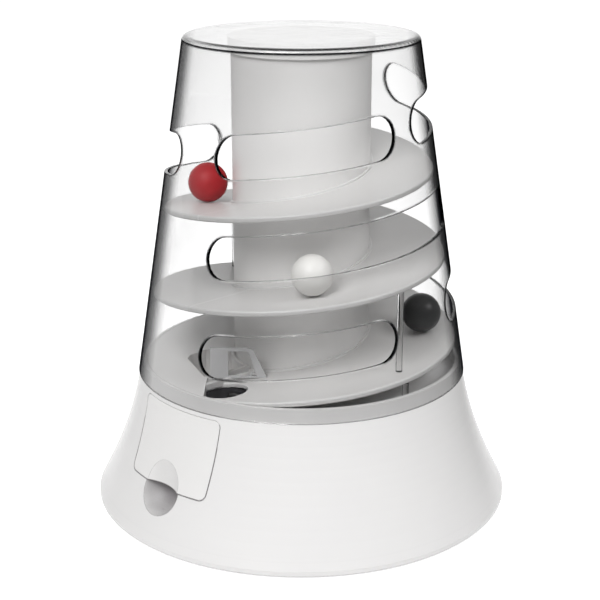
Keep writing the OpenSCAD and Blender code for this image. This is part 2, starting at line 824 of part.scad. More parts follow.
module column() {
    color("white") {
        difference() {
            union() {
                translate([0, 0, gear_plate_h]) cylinder(r = column_r, h = column_top - gear_plate_h);
                translate([0, 0, gear_plate_h]) cylinder(r = column_r + foot_flange_w, h = foot_flange_t);
            }
            translate([0, 0, gear_plate_h - over]) cylinder(r = column_in_r, h = cover_top);
            at(drop_az, 0, chute_foot_z) translate([-trough_half_w, -column_r - over, 0])
                cube([2 * trough_half_w, column_r, trough_top - chute_foot_z]);
            at(exit_az, 0, lift_top - flight_t / 3) translate([-exit_w / 2, -column_r - over, 0])
                cube([exit_w, column_r, exit_h]);
        }
        for (x = [-1, 1]) at(exit_az, column_in_r + column_wall / 4, rib_start)
            translate([x * (rib_half_w + rib_t / 2) - rib_t / 2, column_wall / 2, 0])
            cube([rib_t, rib_depth - column_wall / 4, lift_top - rib_start]);
    }
}

module bearing_spider() {
    hub_z = spider_z - spider_hub_drop;
    color("whitesmoke") difference() {
        union() {
            ring(column_in_r - seat_gap - spider_ring_w, column_in_r - seat_gap, spider_z, spider_z + spider_h);
            for (a = spider_arms) at(a, column_in_r - seat_gap - spider_ring_w / 2, spider_z)
                translate([-spider_arm_w / 2, 0, 0]) cube([spider_arm_w, column_in_r / 1.3, spider_h]);
            translate([0, 0, hub_z]) cylinder(r = spider_hub_r, h = spider_h + spider_hub_rise + spider_hub_drop);
            at(exit_az) translate([-kicker_w / 2, 0, 0]) rotate([90, 0, 90]) linear_extrude(kicker_w)
                polygon([[-kicker_in_r, screw_top + kicker_gap], [-kicker_in_r, spider_z + spider_h],
                    [-kicker_out_r, spider_z + spider_h], [-kicker_out_r, spider_z]]);
            at(exit_az) translate([-spider_arm_w / 2, -kicker_in_r - over, spider_z])
                cube([spider_arm_w, kicker_in_r - shaft_r, spider_h]);
        }
        translate([0, 0, hub_z - over])
            cylinder(r = shaft_r + bush_wall + press_gap, h = spider_h + spider_hub_rise + spider_hub_drop + 2 * over);
    }
}

module top_cap() {
    color("white") difference() {
        union() {
            translate([0, 0, cap_top - cap_h]) cylinder(r = cap_r, h = cap_h);
            translate([0, 0, column_top - cap_plug_h]) cylinder(r = column_in_r - seat_gap, h = cap_plug_h);
        }
        ring(column_in_r - seat_gap, column_r + seat_gap, column_top - cap_plug_h - over, column_top);
        translate([0, 0, column_top - cap_plug_h - over])
            cylinder(r = column_in_r - seat_gap - cap_lip_w, h = cap_plug_h + over);
    }
}

// Collector and chute

// Plan of the deck: a part ring, cut off past the end line and beside it, moved inwards by d
module deck_plan(d) {
    difference() {
        circle(collar_in_r - seat_gap - d);
        circle(column_r + 2 * seat_gap + d);
        rotate(deck_span[1]) translate([-d, -base_r]) square([base_r, 2 * base_r]);
        rotate(deck_span[0]) translate([d - base_r, -base_r]) square([base_r, 2 * base_r]);
        intersection() {
            translate([end_x - d, -base_r]) square([base_r, base_r]);
            translate(pol(drop_r, drop_az, 0)) rotate(end_turn) translate([-base_r, end_line - base_r + d])
                square([2 * base_r, base_r]);
        }
    }
}

module collector_deck() {
    well_r = column_r + 3 * seat_gap;
    color("whitesmoke") difference() {
        union() {
            difference() {
                translate([0, 0, base_h]) linear_extrude(collar_h) deck_plan(0);
                translate([0, 0, base_h - over]) linear_extrude(collar_h - deck_t + over) deck_plan(deck_rim_w);
            }
            difference() {
                well_prism(0, well_z - deck_t, collar_top - deck_t / 2);
                cylinder(r = well_r, h = cover_top);
            }
        }
        difference() {
            well_prism(-deck_t, well_z, collar_top + over);
            cylinder(r = well_r + deck_t, h = cover_top);
        }
    }
}

// The guard is a flat panel with a sloped end, a window and a small hook
// Runs a front view between two distances from the column's axis
module guard_prism(near, far) {
    translate([0, -near, collar_top + seat_gap]) rotate([90, 0, 0]) linear_extrude(far - near) children();
}

module column_guard() {
    color("whitesmoke") guard_prism(guard_front - guard_wall, guard_front) difference() {
        polygon([for (p = guard_shares) [p[0] * guard_front, p[1] * guard_h]]);
        difference() {
            polygon([for (p = window_shares) [p[0] * guard_front, p[1] * guard_h]]);
            translate([guard_front * hook_x_share, 0]) square([hook_w, hook_h]);
            translate([guard_front * hook_x_share, hook_h - hook_w]) square([4 * hook_w, hook_w / 2]);
        }
    }
}

// Space that the track leaves free for the guard
module guard_room() {
    guard_prism(guard_front - guard_wall - seat_gap, guard_front + seat_gap)
        translate([guard_shares[0][0] * guard_front - seat_gap, -seat_gap])
        square([(guard_shares[1][0] - guard_shares[0][0]) * guard_front + 2 * seat_gap, 2 * edge_h]);
}

module drop_chute() {
    out_r = chute_r + chute_wall;
    foot_y = -chute_axis_r(chute_foot_z);
    color("whitesmoke") difference() {
        union() {
            intersection() {
                chute_axis() translate([0, 0, -base_h]) cylinder(r = out_r, h = base_h + 6 * over);
                translate([-base_r, -base_r, chute_foot_z])
                    cube([2 * base_r, 2 * base_r, track_z(drop_az) - neck_drop - chute_foot_z]);
            }
            at(drop_az) translate([-trough_half_w - chute_wall, foot_y - chute_wall, chute_foot_z])
                cube([2 * (trough_half_w + chute_wall), chute_wall - foot_y - column_r + column_wall,
                    trough_top - chute_foot_z]);
            for (a = ear_turns) at(drop_az, chute_axis_r(chute_top), chute_top - ear_t) rotate(a)
                translate([out_r * ear_x_share, 0, 0]) cylinder(r = ear_r, h = ear_t);
        }
        intersection() {
            union() {
                chute_axis() translate([0, 0, -base_h]) cylinder(r = chute_r, h = base_h + 8 * over);
                at(drop_az) translate([-trough_half_w, foot_y, 0]) cube([2 * trough_half_w, -foot_y, base_h]);
            }
            at(drop_az, column_r, chute_foot_z + chute_floor_t) rotate([-chute_slope, 0, 0])
                translate([-base_r, -2 * base_r, 0]) cube([2 * base_r, 3 * base_r, base_r]);
        }
        cylinder(r = column_r + 2 * seat_gap, h = base_h);
        translate([end_x + seat_gap - base_r, -base_r, base_h - seat_gap]) cube([base_r, base_r, collar_h]);
    }
}

// Track

function track_ring(az, low = 0) = let (z = track_z(az), r = track_edge(az)) [
    for (p = [[hub_r, -track_t], [r - edge_w - track_t / 2, -track_t], [r - edge_w, -edge_h],
        [r - edge_round, -edge_h], [r, edge_round - edge_h], [r, -edge_round], [r - edge_round, 0],
        [hub_r + hub_t, 0], [hub_r + hub_t, hub_h], [hub_r, hub_h]]) pol(p[0], az, z + p[1])];

module track(from, to) {
    steps = ceil((to - from) / track_step);
    color("white") loft([for (i = [0 : steps]) track_ring(from + (to - from) * i / steps)], track_cap);
}

function seam_turn(az) = seam_gap / track_edge(az) * 90 / PI;

module track_lower() {
    cut_h = track_front_h + roof_t;
    color("white") {
        difference() {
            track(track_start, track_seams[0] - seam_turn(track_seams[0]));
            end_frame() translate([-base_r, end_line - seat_gap, roof_z]) cube([2 * base_r, base_r, cut_h]);
            translate([end_x + seat_gap - base_r, -base_r, roof_z]) cube([base_r, base_r, cut_h]);
            translate(pol(drop_r, drop_az, base_h)) cylinder(r = drop_hole_r, h = track_front_h - track_t);
            guard_room();
        }
        difference() {
            intersection() {
                end_frame() translate([-base_r, fence_line, track_z(drop_az) - track_t])
                    cube([base_r + 2 * drop_hole_r, fence_t, fence_h]);
                ring(guard_front, drop_r + drop_hole_r, base_h, cover_top);
            }
            guard_room();
            translate([end_x + seat_gap - base_r, -base_r, roof_z]) cube([base_r, base_r, 2 * cut_h]);
        }
    }
}

module track_middle() {
    track(track_seams[0] + seam_turn(track_seams[0]), track_seams[1] - seam_turn(track_seams[1]));
}

module track_upper() {
    track(track_seams[1] + seam_turn(track_seams[1]), track_end);
}

// A post that stands at azimuth az, from the height low up to the height high
module post(az, r, low, high) {
    at(az, r, low) cylinder(r = post_r, h = high - low);
}

module track_posts() {
    color("lightcyan", 0.5) {
        post(low_post_az, collar_in_r - post_inset, base_h, track_z(low_post_az) - edge_h - post_gap);
        post(mid_post_az, track_edge(mid_post_az + 360) - post_inset, track_z(mid_post_az) + post_gap,
            track_z(mid_post_az + 360) - edge_h - post_gap);
        post(rear_post_az, track_edge(rear_post_az + 360) - post_inset, collar_top,
            track_z(rear_post_az + 360) - edge_h - post_gap);
        post(rear_post_az, track_edge(rear_post_az + 720) - post_inset, track_z(rear_post_az + 360) + post_gap,
            track_z(rear_post_az + 720) - edge_h - post_gap);
    }
}

// Cover

// One side of the cover's wall, from its foot to the middle of its top, moved inwards by d
function cover_line(d) = let (z = cover_top - cover_rim_r, a = cover_lean,
    c = cover_out(z + cover_rim_r * sin(a)) - cover_rim_r * cos(a), r = cover_rim_r - d) concat(
    [[cover_out(cover_foot_z) - d / cos(a), cover_foot_z]],
    [for (i = [0 : rim_steps]) let (t = a + (90 - a) * i / rim_steps) [c + r * cos(t), z + r * sin(t)]],
    [[0, cover_top - d]]);

function reversed(list) = [for (i = [len(list) - 1 : -1 : 0]) list[i]];

module slot_cut(from, to) {
    half = slot_w / 2;
    turn = half * 180 / PI / cover_out(slot_z((from + to) / 2));
    middle = ceil((to - from - 2 * turn) / slot_step);
    head = [for (u = slot_end_steps) [from + turn * (1 - cos(u)), half * sin(u)]];
    tail = [for (p = reversed(head)) [from + to - p[0], p[1]]];
    body = [for (i = [1 : middle - 1]) [from + turn + (to - from - 2 * turn) * i / middle, half]];
    loft([for (p = concat(head, body, tail)) slot_ring(p[0], p[1])], quad_cap);
}

function slot_ring(az, h) = let (z = slot_z(az), r = cover_out(z), d = cover_wall_w + cover_taper * slot_w) [
    pol(r - 2 * d, az, z - h), pol(r + d, az, z - h), pol(r + d, az, z + h), pol(r - 2 * d, az, z + h)];

module clear_cover() {
    color("lightcyan", 0.35) difference() {
        rotate_extrude() polygon(concat(cover_line(0), reversed(cover_line(cover_wall))));
        for (s = slot_spans) slot_cut(s[0], s[1]);
    }
}

// Balls

module ball(place) {
    az = place[0];
    r = place[1];
    translate(pol(r, az, track_z(az + 360 * place[2]) + ball_rise(r))) sphere(ball_d / 2);
}

module ball_red() { color("firebrick") ball(ball_red_at); }
module ball_white() { color("white") ball(ball_white_at); }
module ball_black() { color("dimgray") ball(ball_black_at); }

base_shell();
base_plate();
rubber_feet();
base_screws();
battery_door();
battery_box();
battery_cells();
contact_springs();
contact_plates();
control_board();
power_switch();
switch_knob();
gear_motor();
motor_pinion();
compound_gear();
gear_axle();
main_gear();
gear_plate();
lower_bush();
middle_bush();
upper_bush();
screw_shaft();
lift_screw();
column();
bearing_spider();
top_cap();
drop_chute();
collector_deck();
column_guard();
track_lower();
track_middle();
track_upper();
track_posts();
clear_cover();
ball_red();
ball_white();
ball_black();
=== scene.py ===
# %% [markdown]
# # A cat's ball track, rebuilt for a product picture
# The toy is a round white base, a clear slotted cover and a helical track on a hollow column. A motor in
# the base turns a screw inside the column, the screw lifts the balls, and they roll back down the track.
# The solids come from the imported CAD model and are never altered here. This file gives them a camera,
# light, materials, and the pieces that a mesh shows better than a solid does. Everything is in metres.

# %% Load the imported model
import bpy, bmesh, math
from mathutils import Matrix, Vector


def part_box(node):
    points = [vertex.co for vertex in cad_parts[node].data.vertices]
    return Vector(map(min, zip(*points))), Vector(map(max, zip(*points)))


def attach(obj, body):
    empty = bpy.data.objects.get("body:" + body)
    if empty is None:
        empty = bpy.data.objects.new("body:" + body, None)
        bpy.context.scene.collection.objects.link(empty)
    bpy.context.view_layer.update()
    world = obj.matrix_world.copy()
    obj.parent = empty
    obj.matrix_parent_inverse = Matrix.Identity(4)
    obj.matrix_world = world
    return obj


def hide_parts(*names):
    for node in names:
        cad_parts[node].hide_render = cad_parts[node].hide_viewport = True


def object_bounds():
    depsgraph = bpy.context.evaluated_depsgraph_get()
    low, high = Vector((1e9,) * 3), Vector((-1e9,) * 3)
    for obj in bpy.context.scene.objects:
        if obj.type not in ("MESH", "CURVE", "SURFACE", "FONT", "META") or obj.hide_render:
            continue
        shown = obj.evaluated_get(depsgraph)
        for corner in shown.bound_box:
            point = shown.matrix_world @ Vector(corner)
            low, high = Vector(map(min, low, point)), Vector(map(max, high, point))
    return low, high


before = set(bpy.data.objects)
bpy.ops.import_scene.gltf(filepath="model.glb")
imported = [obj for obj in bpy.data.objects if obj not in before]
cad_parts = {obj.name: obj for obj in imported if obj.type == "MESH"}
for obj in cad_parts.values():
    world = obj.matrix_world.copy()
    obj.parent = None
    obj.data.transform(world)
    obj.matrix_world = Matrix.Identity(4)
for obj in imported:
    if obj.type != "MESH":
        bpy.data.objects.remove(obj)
cad_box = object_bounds()
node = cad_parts
MM = 0.001
print("nodes", len(node), "box", [tuple(round(c, 4) for c in corner) for corner in cad_box])

# %% [markdown]
# ## The camera
# The photograph was taken from in front and a little above, close enough for the base to look wider than
# the cap. The ellipses of the base and of the cover's rim fix the distance and the pitch: the same base,
# 300 mm across, has to fill the same pixels at the same tilt. A longer lens from further back would flatten
# them.

# %% Place the camera
PICTURE = 600
FOCAL, ASIDE = 1391.5, -1.3
PITCH_DOWN = 17.87

view = bpy.data.cameras.new("photograph")
view.sensor_width = 36.0
view.lens = FOCAL * view.sensor_width / PICTURE
view.shift_x = ASIDE / PICTURE
camera = bpy.data.objects.new("photograph", view)
camera.location = (0, -0.9576, 0.4518)
camera.rotation_euler = (math.radians(90 - PITCH_DOWN), 0, 0)
bpy.context.scene.collection.objects.link(camera)
bpy.context.scene.camera = camera
bpy.context.scene.view_settings.view_transform = "Standard"
print("lens", round(view.lens, 2), "mm")

# %% [markdown]
# ## Colours and nodes
# A colour is picked on screen as an sRGB hex value, but shaders work with linear light, so one function
# turns the one into the other. Another adds a node with its settings and its links. Each link could be made
# by a line of its own, but a recipe then fills pages. Here a value may be a number, a socket, or a whole
# node, which stands for its first output that is in use, and a name finds the first input of that name that
# is in use.

# %% Colour and node helpers
def linear(hex_code):
    parts = [int(hex_code[i:i + 2], 16) / 255 for i in (1, 3, 5)]
    return tuple(p / 12.92 if p <= 0.04045 else ((p + 0.055) / 1.055) ** 2.4 for p in parts) + (1.0,)


def feed(made, inputs):
    for name, value in inputs.items():
        if isinstance(name, int):
            socket = made.inputs[name]
        else:
            socket = next(one for one in made.inputs if one.enabled and one.name == name)
        if isinstance(value, bpy.types.Node):
            value = next(one for one in value.outputs if one.enabled)
        if isinstance(value, bpy.types.NodeSocket):
            made.id_data.links.new(value, socket)
        else:
            socket.default_value = value


def add_node(tree, kind, inputs=None, **settings):
    made = tree.nodes.new(kind)
    for name, value in settings.items():
        setattr(made, name, value)
    feed(made, inputs or {})
    return made


def new_finish(name):
    finish = bpy.data.materials.new(name)
    finish.use_nodes = True
    tree = finish.node_tree
    place = add_node(tree, "ShaderNodeTexCoord").outputs["Object"]
    return finish, tree, tree.nodes["Principled BSDF"], place


print("the paper's white turns into", [round(c, 3) for c in linear("#F2F2F2")])

# %% [markdown]
# ## The room that the toy stands in
# The picture shows no room: the ground is pure white and the toy seems to float on it. A real studio has
# more in it: white paper, a dim room behind the camera, a black card on the right and a grey one on the
# left. They never show by themselves, but clear and glossy plastic is drawn by what it mirrors, and the
# cards give it its dark edges. They could be boards, which would then stand in the way of every other view.
# Painted into the world by direction, they can't. Two kinds of looking are told apart. A straight look,
# from the camera or through glass, meets white at a strength of one. An echo, which is a mirror image or a
# look that glass has turned round inside, meets the room and its cards.

# %% Who is looking
def kinds_of_look(tree):
    ray = add_node(tree, "ShaderNodeLightPath")
    unmirrored = add_node(tree, "ShaderNodeMath", {0: ray.outputs["Glossy Depth"], 1: 0.5},
                          operation="LESS_THAN")
    straight = add_node(tree, "ShaderNodeMath", {0: unmirrored, 1: ray.outputs["Is Transmission Ray"],
                                                 2: ray.outputs["Is Camera Ray"]}, operation="MULTIPLY_ADD")
    echo = add_node(tree, "ShaderNodeMath", {0: ray.outputs["Is Glossy Ray"],
                                             1: ray.outputs["Is Transmission Ray"]}, operation="MAXIMUM")
    return straight, echo


world = bpy.data.worlds.new("white studio")
bpy.context.scene.world = world
world.use_nodes = True
sky = world.node_tree
sky.nodes.clear()
straight, echo = kinds_of_look(sky)
print("looks told apart by", len(sky.nodes), "nodes")

# %% The dim room and its two cards
ROOM_DARK, BLACK_CARD, GREY_CARD = 0.12, 0.1, 0.5


def room_with_cards(tree, split, room, black, grey):
    depth = add_node(tree, "ShaderNodeMapRange", {"Value": split.outputs["Y"], "From Min": room[0],
                                                  "From Max": room[1], "To Min": ROOM_DARK, "To Max": 1.0})
    right = add_node(tree, "ShaderNodeMapRange", {"Value": split.outputs["X"], "From Min": black[0],
                                                  "From Max": black[1], "To Min": 1.0, "To Max": BLACK_CARD})
    left = add_node(tree, "ShaderNodeMapRange", {"Value": split.outputs["X"], "From Min": grey[0],
                                                 "From Max": grey[1], "To Min": GREY_CARD, "To Max": 1.0})
    cards = add_node(tree, "ShaderNodeMath", {0: right, 1: left}, operation="MULTIPLY")
    return add_node(tree, "ShaderNodeMath", {0: depth, 1: cards}, operation="MULTIPLY")


direction = add_node(sky, "ShaderNodeTexCoord").outputs["Generated"]
toward = add_node(sky, "ShaderNodeSeparateXYZ", {0: direction})
mirrored = room_with_cards(sky, toward, room=(-0.3, 0.5), black=(0.1, 0.4), grey=(-0.45, -0.12))
print("darkest mirrored corner", round(ROOM_DARK * BLACK_CARD, 3))

# %% [markdown]
# ## The light of the world
# The light that falls on the toy is another matter than the white that the eye sees. If the sky lit it at a
# strength of one, white plastic would clip and lose its form. So every other ray meets a dome that is dim
# at the horizon and half as strong as the paper overhead, which leaves the shaping to the lamps.

# %% White to the eye, soft to the toy
HORIZON, OVERHEAD = 0.14, 0.5

dome = add_node(sky, "ShaderNodeMapRange", {"Value": toward.outputs["Z"], "From Min": -0.1, "From Max": 0.9,
                                            "To Min": HORIZON, "To Max": OVERHEAD})
unseen = add_node(sky, "ShaderNodeMix", {"Factor": echo, "A": dome, "B": mirrored})
level = add_node(sky, "ShaderNodeMix", {"Factor": straight, "A": unseen, "B": 1.0})
soft_sky = add_node(sky, "ShaderNodeBackground", {"Color": linear("#FFFFFF"), "Strength": level})
add_node(sky, "ShaderNodeOutputWorld", {"Surface": soft_sky})
print("world nodes", len(sky.nodes))

# %% [markdown]
# ## The floor
# The toy stands on white paper that runs out of the picture on all sides. A plain white floor would come
# out grey, as the plain light is not enough to whiten it. So the paper is a diffuse sheet with a little
# glow: the glow brings it up to white, and its own shaded colour still falls off under the toy, which keeps
# the contact shadow. To an echo it is the floor of the same dim room, by place instead of by direction, and
# where a card or the dark covers it, it is dark paper, so that the lamps don't light it up in the cover's
# edges.

# %% A sheet on the ground
flat = bmesh.new()
bmesh.ops.create_grid(flat, x_segments=1, y_segments=1, size=4.0)
floor_mesh = bpy.data.meshes.new("floor")
flat.to_mesh(floor_mesh)
flat.free()
floor = bpy.data.objects.new("floor", floor_mesh)
bpy.context.scene.collection.objects.link(floor)
floor.location.z = cad_box[0][2] - 0.05 * MM
print("floor at", round(floor.location.z / MM, 2), "mm")

# %% White paper
PAPER_GLOW = 0.68

# Uncoated paper scatters light evenly and has no gloss at all, so nothing is mirrored in the ground.
paper, sheet, shader, place = new_finish("white paper sweep")
sheet.nodes.remove(shader)
straight, echo = kinds_of_look(sheet)
spot = add_node(sheet, "ShaderNodeSeparateXYZ", {0: place})
around = room_with_cards(sheet, spot, room=(-0.4, 0.1), black=(0.14, 0.3), grey=(-0.32, -0.14))
mirrored = add_node(sheet, "ShaderNodeMath", {0: echo, 1: around}, operation="MULTIPLY")
seen = add_node(sheet, "ShaderNodeMath", {0: straight, 1: mirrored}, operation="MAXIMUM")
kept = add_node(sheet, "ShaderNodeMath", {0: straight, 1: around}, operation="MAXIMUM")
lost = add_node(sheet, "ShaderNodeMath", {0: 1.0, 1: kept}, operation="SUBTRACT")
covered = add_node(sheet, "ShaderNodeMath", {0: lost, 1: echo}, operation="MULTIPLY")
tone = add_node(sheet, "ShaderNodeMix", {"Factor": covered, "A": linear("#F2F2F2"), "B": linear("#161616")},
                data_type="RGBA")
shaded = add_node(sheet, "ShaderNodeBsdfDiffuse", {"Color": tone})
glow_level = add_node(sheet, "ShaderNodeMath", {0: seen, 1: PAPER_GLOW}, operation="MULTIPLY")
glow = add_node(sheet, "ShaderNodeEmission", {"Color": linear("#FFFFFF"), "Strength": glow_level})
lit = add_node(sheet, "ShaderNodeAddShader", {0: glow, 1: shaded})
feed(sheet.nodes["Material Output"], {"Surface": lit})
floor_mesh.materials.append(paper)
print("paper nodes", len(sheet.nodes))

# %% [markdown]
# ## Lamps
# Two large round soft boxes hang in front of the toy: the key on the left, and a weaker fill so far round
# to the right that the cover doesn't mirror it as a strip. Planes that glow would do the same, but a
# renderer aims its rays at an area lamp and so gets less noise from it. The size keeps every edge of shadow
# soft, as in the photograph, and the track still shades the column under it.

# %% Two soft boxes
def soft_lamp(name, place, aim, size, watts):
    lamp = bpy.data.lights.new(name, "AREA")
    lamp.shape = "DISK"
    lamp.size = size
    lamp.energy = watts
    held = bpy.data.objects.new(name, lamp)
    held.location = place
    held.rotation_euler = (Vector(aim) - Vector(place)).to_track_quat("-Z", "Y").to_euler()
    bpy.context.scene.collection.objects.link(held)
    return held


TOY_MIDDLE = (0, 0, 0.15)
lamps = [soft_lamp("key soft box", (-0.55, -1.2, 1.5), TOY_MIDDLE, size=1.1, watts=21.5),
         soft_lamp("fill soft box", (1.25, -0.7, 1.5), TOY_MIDDLE, size=0.9, watts=10.0)]
print("lamps", [lamp.name for lamp in lamps])

# %% [markdown]
# ## Moulded plastic
# Nearly all of the toy is injection moulded. A steel mould leaves its own polish on the part, so the gloss
# varies a little with the flow, thick places sink a hair, and a corner is never sharp. Three noises give
# that: a broad one of 45 mm for sink, one of 12 mm for the drift of colour and gloss, and a fine one for
# the grain that the tool left. The drift could be stronger, but then it reads as dirt on a new toy. The
# Bevel node rounds the corners for the light without changing the mesh.

# %% The recipe for moulded plastic
SINK_MM, FLOW_MM = 45, 12


def moulded(name, colour, flow_colour, rough, grain_mm, grain_depth_mm, corner_mm=0.5, ior=1.53,
            skin_of=None):
    finish, tree, shader, place = new_finish(name)
    sink, flow, grain = [
        add_node(tree, "ShaderNodeTexNoise", {"Vector": place, "Scale": 1 / (size * MM), "Detail": detail})
        for size, detail in ((SINK_MM, 2.0), (FLOW_MM, 4.0), (grain_mm, 3.0))]
    tint = add_node(tree, "ShaderNodeMix", {"Factor": sink, "A": linear(colour), "B": linear(flow_colour)},
                    data_type="RGBA")
    gloss = add_node(tree, "ShaderNodeMapRange", {"Value": flow, "From Min": 0.3, "From Max": 0.7,
                                                  "To Min": rough * 0.93, "To Max": rough * 1.07})
    corner = add_node(tree, "ShaderNodeBevel", {"Radius": corner_mm * MM}, samples=4)
    smooth = skin_of(tree, place, corner) if skin_of else corner
    sunk = add_node(tree, "ShaderNodeBump", {"Height": sink, "Distance": 0.15 * MM, "Strength": 0.5,
                                             "Normal": smooth})
    skin = add_node(tree, "ShaderNodeBump", {"Height": grain, "Distance": grain_depth_mm * MM,
                                             "Strength": 0.6, "Normal": sunk})
    feed(shader, {"Base Color": tint, "Roughness": gloss, "Normal": skin, "IOR": ior})
    return finish


def wear(finish, *names):
    for name in names:
        node[name].data.materials.clear()
        node[name].data.materials.append(finish)
        for polygon in node[name].data.polygons:
            polygon.material_index = 0


print("plastic sinks over", SINK_MM, "mm and flows over", FLOW_MM, "mm")

# %% [markdown]
# ## White parts of the tower
# Column, cap, deck and the plate under the base are plain ABS mouldings. All of them could share one white,
# and from far off they do. Each has its own here, because the tools differ: the eye tells a satin deck from
# a polished base by the width of its highlights. The column's white is also a little lighter, which is
# painted light. White plastic is never pure white, so the colours stop short of it. The guard round the
# column's foot is painted greyer and the chute under the hole dark, both as painted shade.

# %% Column, deck and plate
# A fine satin gives the tall column one broad, even sheen, on which the track's soft shadow can be read.
# Its white is a little lighter than the deck's, which is painted light.
column_white = moulded("white ABS, moulded, tall column", "#F3F2F1", "#EFEEED", rough=0.34, grain_mm=0.9,
                       grain_depth_mm=0.008)
wear(column_white, "column", "top_cap")
# The same satin in a slightly greyer white, on the flat inner parts, keeps their highlights wide and dull.
satin_white = moulded("white ABS, moulded, satin tool", "#EDECEB", "#E9E8E7", rough=0.34, grain_mm=0.9,
                      grain_depth_mm=0.008)
wear(satin_white, "collector_deck", "bearing_spider")
# A spark-eroded tool leaves fine pits: the underside scatters all light and shows no clear highlight.
eroded_white = moulded("white ABS, spark-eroded underside", "#E4E3E1", "#DEDDDB", rough=0.55, grain_mm=0.7,
                       grain_depth_mm=0.03)
wear(eroded_white, "base_plate")
print("whites", [finish.name for finish in (column_white, satin_white, eroded_white)])

# %% Guard and chute
# Grey is painted on the guard as shade: it stands for the shaded ring round the column's foot.
guard_grey = moulded("ABS painted grey for shade, column guard", "#C6C6C7", "#C0C0C1", rough=0.36, grain_mm=0.9,
                     grain_depth_mm=0.008)
wear(guard_grey, "column_guard")
# The chute is matt and painted dark as shade, so the hole that a ball drops into reads as deep.
chute_painted_shade = moulded("ABS painted dark for shade, chute, matt", "#4A4A4D", "#424245", rough=0.5, grain_mm=0.8,
                    grain_depth_mm=0.02)
wear(chute_painted_shade, "drop_chute")
print("greys", [finish.name for finish in (guard_grey, chute_painted_shade)])

# %% [markdown]
# ## The base and its battery door
# The base is the glossiest part of the toy, since its tool was polished, and the scoops pressed into its
# wall are seen by their shade alone. The soft light from all round nearly washes that shade out. Harder
# lamps would bring it back, but they would also harden the shadows of the track. So each point is asked how
# much of the sky it sees, by Ambient Occlusion, and hollows get painted shade: a greyer, duller plastic.
# That also works where the door meets the wall: a Bevel node finds the seam by the turn of its edges, and
# shade is painted there too. The zone of heights keeps the painted shade off the foot, which sees little
# sky because of the floor, and off the ledge under the cover.

# %% Shade in the hollows and seams
SEAM_EDGE, HOLLOW_ROUGH = 0.9 * MM, 0.6


def shade_hollows(finish, colour, reach_mm, open_share, closed_share, low_mm, high_mm):
    tree = finish.node_tree
    shader = tree.nodes["Principled BSDF"]
    place = add_node(tree, "ShaderNodeTexCoord").outputs["Object"]
    height = add_node(tree, "ShaderNodeSeparateXYZ", {0: place}).outputs["Z"]
    above = add_node(tree, "ShaderNodeMath", {0: height, 1: low_mm * MM}, operation="GREATER_THAN")
    below = add_node(tree, "ShaderNodeMath", {0: height, 1: high_mm * MM}, operation="LESS_THAN")
    zone = add_node(tree, "ShaderNodeMath", {0: above, 1: below}, operation="MULTIPLY")
    sky_seen = add_node(tree, "ShaderNodeAmbientOcclusion", {"Distance": reach_mm * MM}, samples=32)
    hollow = add_node(tree, "ShaderNodeMapRange", {"Value": sky_seen.outputs["AO"], "From Min": open_share,
                                                   "From Max": closed_share, "To Min": 0.0, "To Max": 1.0})
    facet = add_node(tree, "ShaderNodeNewGeometry").outputs["True Normal"]
    rounded = add_node(tree, "ShaderNodeBevel", {"Radius": SEAM_EDGE, "Normal": facet}, samples=6)
    agree = add_node(tree, "ShaderNodeVectorMath", {0: facet, 1: rounded}, operation="DOT_PRODUCT")
    seam = add_node(tree, "ShaderNodeMapRange", {"Value": agree, "From Min": 0.998, "From Max": 0.93,
                                                 "To Min": 0.0, "To Max": 0.85})
    # Painted shade: hollows and the door's seam are mixed towards the darker colour and a duller gloss.
    dark = add_node(tree, "ShaderNodeMath", {0: hollow, 1: seam}, operation="MAXIMUM")
    share = add_node(tree, "ShaderNodeMath", {0: dark, 1: zone}, operation="MULTIPLY")
    skin_colour = shader.inputs["Base Color"].links[0].from_socket
    gloss = shader.inputs["Roughness"].links[0].from_socket
    mixed = add_node(tree, "ShaderNodeMix", {"Factor": share, "A": skin_colour, "B": linear(colour)},
                     data_type="RGBA")
    matt = add_node(tree, "ShaderNodeMix", {"Factor": share, "A": gloss, "B": HOLLOW_ROUGH})
    feed(shader, {"Base Color": mixed, "Roughness": matt})


print("a seam is shaded", SEAM_EDGE / MM, "mm to each side")

# %% Base shell and door
PAINTED_HOLLOW_SHADE = {"colour": "#8E8A8C", "reach_mm": 20}

# A polished tool makes a skin that mirrors: the soft boxes show in it as broad, clear-edged highlights.
gloss_white = moulded("white ABS, moulded, polished tool", "#EAE9E8", "#E6E5E5", rough=0.2, grain_mm=1.6,
                      grain_depth_mm=0.004)
shade_hollows(gloss_white, **PAINTED_HOLLOW_SHADE, open_share=0.95, closed_share=0.6, low_mm=10, high_mm=75)
wear(gloss_white, "base_shell")
# The door comes from another tool with less polish, so it looks a little duller than the wall around it.
door_white = moulded("white ABS, moulded, battery door", "#EDECEB", "#E9E8E7", rough=0.3, grain_mm=0.9,
                     grain_depth_mm=0.006)
shade_hollows(door_white, **PAINTED_HOLLOW_SHADE, open_share=0.995, closed_share=0.78, low_mm=0, high_mm=90)
wear(door_white, "battery_door")
print("base dressed in", gloss_white.name)

# %% [markdown]
# ## The helical track
# Three mouldings snap together into one ramp that climbs 61 mm a turn. The CAD mesh shows it as many flat
# facets, which a satin skin would show as stripes, and smoothing the mesh would change it. The true normal
# of a helical ramp is easy to work out from the place of a point: it leans back along the path by the pitch
# over the distance round. The shader uses that normal where the facet nearly agrees with it, and the
# rounded corner elsewhere. Every edge of the track gets a painted highlight: its colour is lightened
# towards white near each edge.

# %% A smooth normal for a facetted ramp
TRACK_PITCH, TRACK_SKIN = 61 * MM, 0.985


